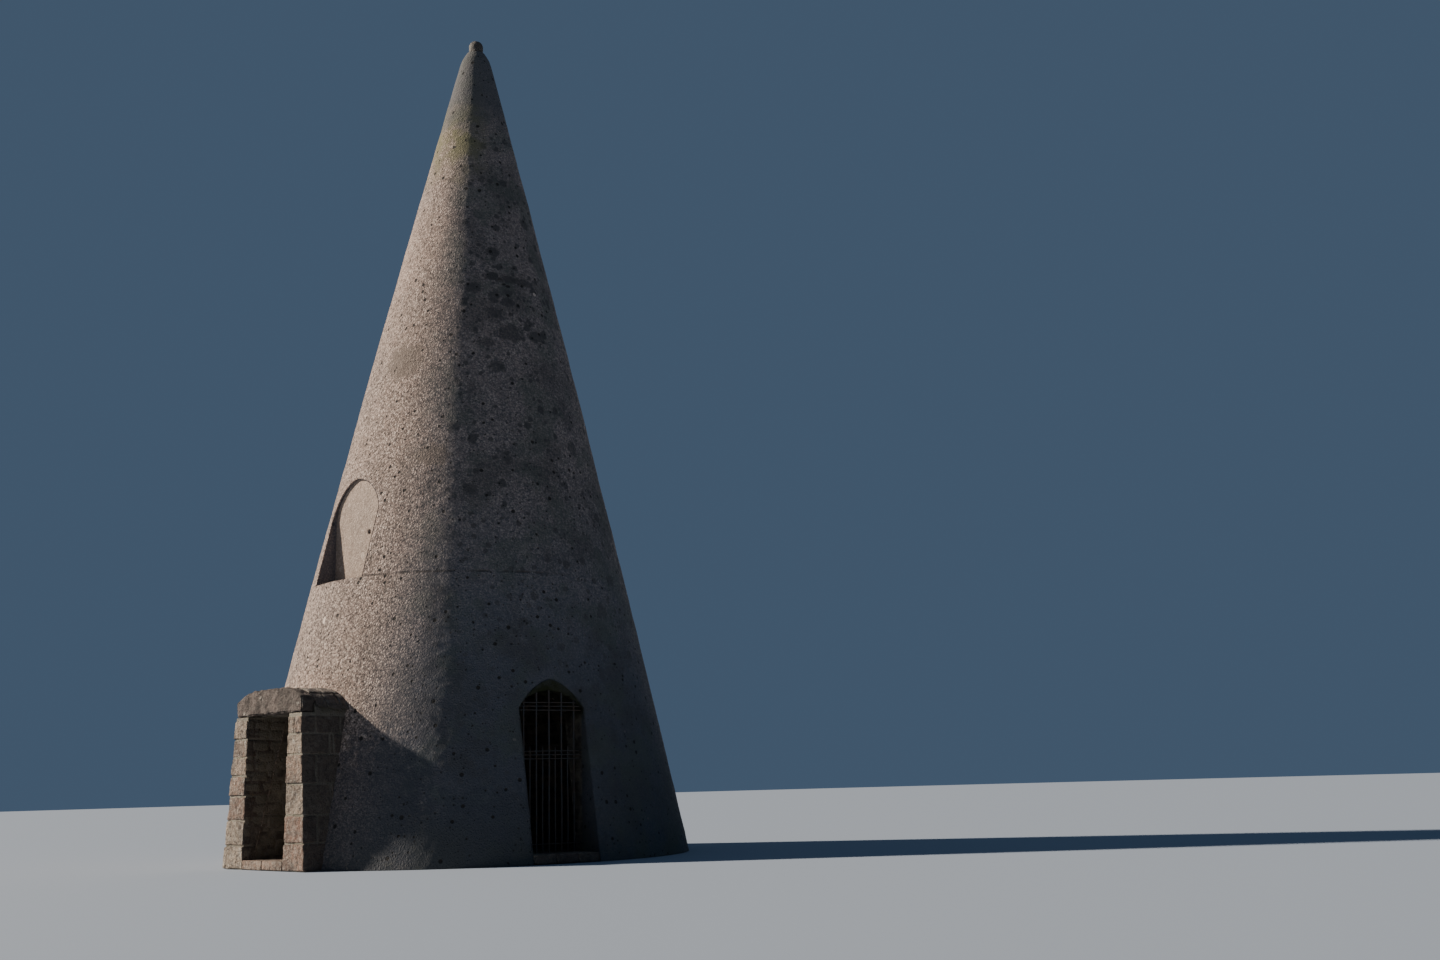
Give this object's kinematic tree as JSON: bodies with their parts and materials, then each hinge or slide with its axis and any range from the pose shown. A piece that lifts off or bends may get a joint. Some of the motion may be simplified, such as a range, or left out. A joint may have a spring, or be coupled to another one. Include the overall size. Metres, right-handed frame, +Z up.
{
  "type": "conical stone folly with porch and grilled opening",
  "caption": "Tall hollow cone of rendered stone with a low stone porch, a blind arched recess above it, an arched opening closed by an iron grille, and a small stone cap.",
  "frame": {"origin": "centre of the tower at ground level, on the underside of the ground floor", "axes": "+Z up the tower's axis, -Y out of the porch, +X to the right of someone facing the porch"},
  "size_m": [5.3, 5.37, 10.67],
  "materials": {
    "roughcast": "weathered rough-cast render with lichen, no gloss",
    "recess_render": "smoother weathered render, no gloss",
    "cap_stone": "weathered stone with lichen",
    "floor_stone": "worn stone and earth-coloured mortar",
    "porch_stone": "coursed sandstone in lime mortar",
    "lintel_stone": "rough weathered sandstone with lichen",
    "roof_mortar": "weathered mortar capping",
    "wrought_iron": "dull weathered wrought iron"
  },
  "bodies": {
    "root": {"lower_wall_right_front": "roughcast", "lower_wall_right": "roughcast", "lower_wall_back_right": "roughcast", "lower_wall_back_left": "roughcast", "lower_wall_left": "roughcast", "lower_wall_left_front": "roughcast", "second_wall_over_doorway": "roughcast", "second_wall_over_grille": "roughcast", "second_wall_back_right": "roughcast", "second_wall_back_left": "roughcast", "second_wall_left": "roughcast", "recess_wall_round_recess": "roughcast", "recess_wall_right": "roughcast", "recess_wall_back": "roughcast", "recess_wall_left": "roughcast", "upper_wall_right": "roughcast", "upper_wall_back": "roughcast", "upper_wall_left": "roughcast", "upper_wall_front": "roughcast", "spire_wall_right": "roughcast", "spire_wall_back": "roughcast", "spire_wall_left": "roughcast", "spire_top": "roughcast", "recess_panel": "recess_render", "cap_stone": "cap_stone", "ground_floor": "floor_stone", "grille_threshold": "floor_stone", "doorway_threshold": "floor_stone", "porch_jamb_left": "porch_stone", "porch_jamb_right": "porch_stone", "porch_side_wall_left": "porch_stone", "porch_side_wall_right": "porch_stone", "porch_lintel": "lintel_stone", "porch_roof": "roof_mortar", "porch_capping": "roof_mortar", "grille_bars": "wrought_iron", "grille_dog_bars": "wrought_iron", "grille_top_rails": "wrought_iron", "grille_middle_rails": "wrought_iron", "grille_bottom_rail": "wrought_iron"}
  },
  "joints": []
}
